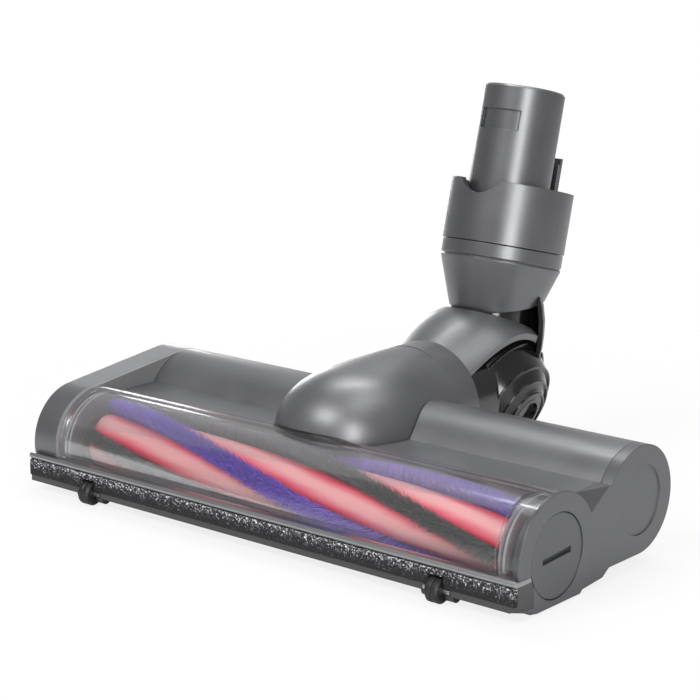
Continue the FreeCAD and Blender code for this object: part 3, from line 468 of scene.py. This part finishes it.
# Deep red beside the rows is painted shade, and the pale salmon of each band's middle is painted light
pink_core = helix_bands("pink_core", (0.85, 0.015, 0.06), (1.0, 0.14, 0.2), (1.0, 0.45, 0.44))
steel = metal("steel", (0.62, 0.62, 0.64), 0.3)
zinc = metal("zinc", (0.5, 0.51, 0.53), 0.4)
bronze = metal("bronze", (0.5, 0.33, 0.18), 0.45)
copper = metal("copper", (0.55, 0.27, 0.14), 0.4)
magnet = metal("magnet", (0.12, 0.12, 0.12), 0.6)
contact = metal("contact", (0.7, 0.55, 0.28), 0.3)
thin_clear = clear_cover("clear_smoke", (0.95, 0.955, 0.96), veil=0.02, skin=0.45)
thick_clear = clear_cover("thick_clear", (0.92, 0.93, 0.935), veil=0.42, skin=0.6)
flock = speckled("flock")
# The dark root colours are painted shade deep in the rows
nylon = fibre("nylon", (0.13, 0.06, 0.55), (0.42, 0.24, 1.0))
carbon = fibre("carbon", (0.03, 0.03, 0.032), (0.30, 0.31, 0.30))

# Painted light: the housing is plain and pale inside the brush chamber, lighter than its own grey
change_within(housing_painted_pale_inside, axis_distance, chamber_r, (0.36, 0.365, 0.365), metallic=0.0)
# The lip is dark below its rib, and the bright rib above is a painted highlight
change_within(lip_painted_highlight, height, lip_rib_low, (0.07, 0.07, 0.072), metallic=0.5)

paint = {
    "main_housing": housing_painted_pale_inside, "right_end_plate": shaded_plate_grey, "left_cheek": body_grey,
    "belt_plate": inner_grey, "window": thin_clear, "front_lip": lip_painted_highlight, "flocked_strip": flock,
    "sole_plate": inner_black, "sole_felt": felt, "cover_screws": zinc, "cowl": body_grey,
    "swivel_ring": inner_black, "motor_can": zinc, "motor_end_bell": inner_black, "motor_magnets": magnet,
    "motor_cradle": inner_black, "motor_rotor": copper, "motor_pulley": bronze,
    "drive_belt": belt_rubber, "control_board": board_green, "brush_bearing": bronze,
    "front_axles": steel, "rear_axles": steel, "brush_core": pink_core, "nylon_row_front": nylon,
    "carbon_row_top": carbon, "nylon_row_back": nylon, "carbon_row_rear": carbon,
    "carbon_row_low": carbon, "brush_hub": inner_black, "brush_end_pin": steel, "end_cap": cap_grey,
    "cap_bush": bronze, "elbow": body_grey, "snap_ring": inner_black, "pivot_pins": steel,
    "flex_boot": rubber_black, "neck_cone": neck_grey, "neck_shield": joint_black,
    "neck_collar": neck_grey, "spigot": neck_grey, "connector_shroud": neck_grey,
    "contact_pins": contact, "front_roller_left": tread_black, "rear_wheel_left": tread_black,
    "front_roller_right": tread_black, "rear_wheel_right": tread_black,
}


def dress(item, material):
    """One material on a piece, and smooth shading with its sharp edges kept."""
    mesh = item.data
    mesh.materials.clear()
    mesh.materials.append(material)
    for polygon in mesh.polygons:
        polygon.use_smooth = True
    mesh.set_sharp_from_angle(angle=math.radians(sharp_solid))


for node_name, finish in paint.items():
    dress(nodes[node_name], finish)


# Brush bar: one finely turned surface in place of the bar's solid

def smooth_core():
    """A broad crowned band between each two rows, rounded off at both ends."""
    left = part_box("brush_core")[0][0] / mm
    points = []
    for step in range(core_steps + 1):
        x = left + (core_right - left) * step / core_steps
        from_end = min(x - left, core_right - x)
        drop = core_end_drop * max(0.0, 1 - from_end / core_end_length) ** 2
        for side in range(core_sides):
            angle = 360.0 * side / core_sides
            share = ((angle + strip_twist * x - strip_phase) / row_step) % 1.0
            radius = core_r - core_groove + core_crown * math.sin(math.pi * share) ** crown_power - drop
            points.append(place(*round_brush(x, radius, math.radians(angle))))
    faces = []
    for step in range(core_steps):
        here = step * core_sides
        after = here + core_sides
        for side in range(core_sides):
            other = (side + 1) % core_sides
            faces.append((here + side, here + other, after + other, after + side))
    faces.append(tuple(range(core_sides)))
    faces.append(tuple(core_steps * core_sides + side for side in reversed(range(core_sides))))
    item = new_mesh("core_surface", points, faces)
    item.data.materials.append(pink_core)
    item.data.set_sharp_from_angle(angle=math.radians(sharp_core))
    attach(item, "brush")
    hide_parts("brush_core")


# Bristle rows: many thin strands in place of each solid fin

def strand_row(name, node, index, count, material, root_fan, tip_fan, clump, thick, lean):
    """One helical row of strands, trimmed above the floor.

    The fans are the row's widths in degrees at the root and the tip. A clump is the length of the bar whose
    strands draw together at the root, and lean is how far a tip strays along the bar.
    """
    clump_pull = 0.45
    tip_stray = 0.07
    tip_wear = 0.05
    wear_spread = 0.7
    bow = 2
    middle_shade = 0.55
    middle_angle = strip_phase + row_step * index
    points = []
    faces = []
    shades = []
    for number in range(count):
        along = row_left + (row_right - row_left) * (number + random.random()) / count
        clump_x = row_left + (int((along - row_left) / clump) + 0.5) * clump
        across = random.uniform(-0.5, 0.5)
        foot_x = along * (1 - clump_pull) + clump_x * clump_pull
        foot_turn = math.radians(middle_angle - strip_twist * foot_x + across * root_fan)
        tip_x = along + random.uniform(-1, 1) * lean
        stray = random.gauss(0, tip_fan * tip_stray)
        tip_turn = math.radians(middle_angle - strip_twist * tip_x + across * tip_fan + stray)
        reach = strand_tip_r * (1 - tip_wear * abs(random.gauss(0, wear_spread)))
        foot = round_brush(foot_x, strand_root_r, foot_turn)
        tip = round_brush(tip_x, reach, tip_turn)
        if tip[2] < strand_low:
            share = (foot[2] - strand_low) / (foot[2] - tip[2])
            tip = [low + (high - low) * share for low, high in zip(foot, tip)]
        start = place(*foot)
        end = place(*tip)
        any_way = Vector([random.uniform(-1, 1) for _ in range(3)])
        side = (end - start).normalized().cross(any_way).normalized() * thick * mm * 0.5
        middle = (start + end) / 2 + side * random.uniform(-bow, bow)
        first = len(points)
        points += [start - side, start + side, middle + side, middle - side]
        points += [end + side * 0.5, end - side * 0.5]
        faces += [(first, first + 1, first + 2, first + 3), (first + 3, first + 2, first + 4, first + 5)]
        tone = random.random()
        for part in (0.0, middle_shade, 1.0):
            shades += [(part, tone), (part, tone)]
    item = new_mesh(name, points, faces)
    layer = item.data.color_attributes.new("shade", "FLOAT_COLOR", "POINT")
    for number, (part, tone) in enumerate(shades):
        layer.data[number].color = (part, tone, 0, 1)
    item.data.materials.append(material)
    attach(item, "brush")
    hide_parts(node)


nylon_look = {"material": nylon, "root_fan": 14, "tip_fan": 26, "clump": 2.2, "thick": 0.26, "lean": 0.7}
carbon_look = {"material": carbon, "root_fan": 12, "tip_fan": 24, "clump": 1.2, "thick": 0.18, "lean": 0.4}

smooth_core()
strand_row("strands_nylon_front", "nylon_row_front", index=0, count=11000, **nylon_look)
strand_row("strands_nylon_back", "nylon_row_back", index=2, count=11000, **nylon_look)
strand_row("strands_carbon_top", "carbon_row_top", index=1, count=11000, **carbon_look)
strand_row("strands_carbon_rear", "carbon_row_rear", index=3, count=9000, **carbon_look)
strand_row("strands_carbon_low", "carbon_row_low", index=4, count=11000, **carbon_look)


# Rubber boot: the solid's own surface, with a rounded bead along each rib

def tree_of(name):
    """A node's surface, for finding how far a point is from it."""
    mesh = nodes[name].data
    corners = [vertex.co for vertex in mesh.vertices]
    return BVHTree.FromPolygons(corners, [tuple(polygon.vertices) for polygon in mesh.polygons])


def bead(points, faces, centre, across, up, radius, keep):
    """Adds a ring of round section, left out where keep says no."""
    along = across.cross(up)
    first = {}
    for number in range(bead_turns):
        angle = 2 * math.pi * number / bead_turns
        out = across * math.cos(angle) + up * math.sin(angle)
        middle = centre + out * radius
        if not keep(middle):
            continue
        first[number] = len(points)
        for side in range(bead_sides):
            turn = 2 * math.pi * side / bead_sides
            points.append(middle + (out * math.cos(turn) + along * math.sin(turn)) * (bead_r * mm))
    for number, here in first.items():
        after = first.get((number + 1) % bead_turns)
        if after is None:
            faces.append(tuple(here + side for side in range(bead_sides)))
        else:
            for side in range(bead_sides):
                other = (side + 1) % bead_sides
                faces.append((here + side, here + other, after + other, after + side))
        if (number - 1) % bead_turns not in first:
            faces.append(tuple(here + side for side in reversed(range(bead_sides))))


def boot_mesh():
    """The boot's own surface in pieces small enough to bend."""
    mesh = bmesh.new()
    mesh.from_mesh(nodes["flex_boot"].data)
    for _ in range(4):
        long_edges = [edge for edge in mesh.edges if edge.calc_length() > boot_longest_edge * mm]
        if long_edges:
            bmesh.ops.subdivide_edges(mesh, edges=long_edges, cuts=1)
    bmesh.ops.triangulate(mesh, faces=mesh.faces[:])
    return mesh


def rubber_boot():
    """One rubber piece from the elbow to the neck."""
    mesh = boot_mesh()
    own = BVHTree.FromBMesh(mesh)
    neighbours = [tree_of(name) for name in ("neck_shield", "neck_cone", "elbow", "neck_collar")]
    points = []
    faces = []
    slope = math.atan(boot_slope)
    y_way = Vector((0, 1, 0))
    for side in (1, -1):
        axis = Vector((side * math.cos(slope), 0, -math.sin(slope)))
        up = axis.cross(y_way)

        def keep(spot, side=side):
            """On the boot's surface, on this side of the middle and clear of the neighbours."""
            if spot.x * side < bead_split * mm or own.find_nearest(spot)[3] > bead_stray * mm:
                return False
            return all(tree.find_nearest(spot)[3] > bead_room * mm for tree in neighbours)

        for along, radius in boot_ribs:
            centre = place(0, boot_y, boot_z) + axis * along * mm
            bead(points, faces, centre, y_way, up, (radius - bead_sink) * mm, keep)
    data = bpy.data.meshes.new("rubber_boot")
    mesh.to_mesh(data)
    mesh.free()
    boot = link_new("rubber_boot", data)
    dress(boot, rubber_black)
    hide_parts("flex_boot")
    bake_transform(boot)
    ribs = new_mesh("boot_ribs", points, faces)
    ribs.data.materials.append(rubber_black)
    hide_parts("flex_boot")
    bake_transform(ribs)


rubber_boot()


# Clear hoops at the window's ends and the clear wall beside the bar

def chamber_ring(name, left, right, inner, outer, first, last, edge):
    """A part of a clear ring round the brush axis, between two angles, with its corners cut by edge."""
    section = ((left, inner + edge), (left, outer - edge), (left + edge, outer), (right - edge, outer),
               (right, outer - edge), (right, inner + edge), (right - edge, inner), (left + edge, inner))
    sides = len(section)
    points = []
    for number in range(ring_turns + 1):
        turn = math.radians(first + (last - first) * number / ring_turns)
        for x, radius in section:
            points.append(place(*round_brush(x, radius, turn)))
    faces = []
    for number in range(ring_turns):
        here = number * sides
        after = here + sides
        for side in range(sides):
            other = (side + 1) % sides
            faces.append((here + side, here + other, after + other, after + side))
    faces.append(tuple(reversed(range(sides))))
    faces.append(tuple(ring_turns * sides + side for side in range(sides)))
    item = new_mesh(name, points, faces)
    item.data.set_sharp_from_angle(angle=math.radians(sharp_ring))
    item.data.materials.append(thick_clear)
    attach(item, "head")


hoop_gap = 0.08
hoop_outer = window_r - window_wall - hoop_gap
hoop = {"inner": 16.9, "outer": hoop_outer, "first": -8, "last": 118}
end_wall = {"inner": 5.2, "outer": 16.3, "first": -20, "last": 128}

chamber_ring("hoop_left_outer", -91.7, -90.9, edge=0.2, **hoop)
chamber_ring("hoop_left_inner", -89.9, -89.1, edge=0.2, **hoop)
chamber_ring("bar_end_wall", 94.9, 96.1, edge=0.3, **end_wall)
chamber_ring("hoop_right", 97.6, 98.5, edge=0.25, **hoop)


# Camera, lights and backdrop: from here on, lengths without a name above are in metres

camera = link_new("camera", bpy.data.cameras.new("camera"))
camera.location = place(*camera_place)
camera.rotation_euler = (math.radians(90 - camera_down), 0, math.radians(camera_turn))
camera.data.lens = camera_lens
camera.data.sensor_width = camera_sensor
camera.data.shift_x, camera.data.shift_y = camera_shift
camera.data.clip_start = 0.01
camera.data.clip_end = 20
bpy.context.scene.camera = camera


def area_light(name, spot, target, size, watts):
    """A soft panel that faces a target."""
    data = bpy.data.lights.new(name, "AREA")
    data.shape = "RECTANGLE"
    data.size, data.size_y = size
    data.energy = watts
    item = link_new(name, data)
    item.location = spot
    item.rotation_euler = (Vector(target) - item.location).to_track_quat("-Z", "Y").to_euler()


area_light("key", spot=(-0.1, -0.85, 0.95), target=(0, 0, 0.03), size=(0.6, 0.5), watts=7.0)
area_light("strip", spot=(0.92, -0.80, 0.40), target=(0, 0, 0.06), size=(0.36, 0.95), watts=9.5)
area_light("top", spot=(0.35, 0.1, 1.15), target=(0, 0, 0.03), size=(0.8, 0.5), watts=3.0)
area_light("rim", spot=(-0.95, 0.75, 0.05), target=(0, 0, 0.10), size=(0.25, 0.5), watts=3.0)
area_light("over", spot=(-0.25, 0.35, 0.9), target=(0, 0.02, 0.05), size=(0.5, 0.12), watts=3.0)


def pale_floor():
    """The pale floor: white to the camera away from the object, and shaded near it."""
    half = 3
    z = -0.0002
    floor_rough = 0.9
    fade_start = 0.12
    fade_end = 0.30
    white_near = 0.82
    item = new_mesh("floor", [(-half, -half, z), (half, -half, z), (half, half, z), (-half, half, z)],
                    [(0, 1, 2, 3)])
    material, tree, main = shader("floor")
    main.inputs["Base Color"].default_value = (0.8, 0.8, 0.8, 1)
    main.inputs["Roughness"].default_value = floor_rough
    away = add_node(tree, "ShaderNodeVectorMath", {0: coordinates(tree)}, operation="LENGTH").outputs["Value"]
    white_share = map_range(tree, away, fade_start, fade_end, white_near, 1.0)
    glow = add_node(tree, "ShaderNodeEmission", {"Color": (1, 1, 1, 1)}).outputs[0]
    shown = mix_shaders(tree, white_share, main.outputs[0], glow)
    to_camera = add_node(tree, "ShaderNodeLightPath", {}).outputs["Is Camera Ray"]
    chosen = mix_shaders(tree, to_camera, main.outputs[0], shown)
    feed(tree, tree.nodes["Material Output"].inputs["Surface"], chosen)
    item.data.materials.append(material)


def studio_world():
    """White to the camera, and for light and reflections a studio that is bright behind the object."""
    bright_way = (-0.62, 0.74, 0.05)
    strength = 0.95
    stops = [(0.0, (0.32, 0.32, 0.33)), (0.6, (0.30, 0.30, 0.31)), (0.85, (0.45, 0.46, 0.47)),
             (1.0, (0.8, 0.8, 0.8))]
    world = bpy.data.worlds.new("backdrop")
    bpy.context.scene.world = world
    world.use_nodes = True
    tree = world.node_tree
    way = add_node(tree, "ShaderNodeTexCoord", {}).outputs["Generated"]
    toward = add_node(tree, "ShaderNodeVectorMath", {0: way, 1: bright_way}, operation="DOT_PRODUCT")
    share = map_range(tree, toward.outputs["Value"], -1, 1, 0.0, 1.0)
    fill = tree.nodes["Background"]
    feed(tree, fill.inputs["Color"], ramp(tree, share, stops))
    fill.inputs["Strength"].default_value = strength
    white = add_node(tree, "ShaderNodeBackground", {"Color": (1, 1, 1, 1), "Strength": 1.0}).outputs[0]
    to_camera = add_node(tree, "ShaderNodeLightPath", {}).outputs["Is Camera Ray"]
    chosen = mix_shaders(tree, to_camera, fill.outputs[0], white)
    feed(tree, tree.nodes["World Output"].inputs["Surface"], chosen)


pale_floor()
studio_world()
bpy.context.scene.view_settings.view_transform = "Standard"
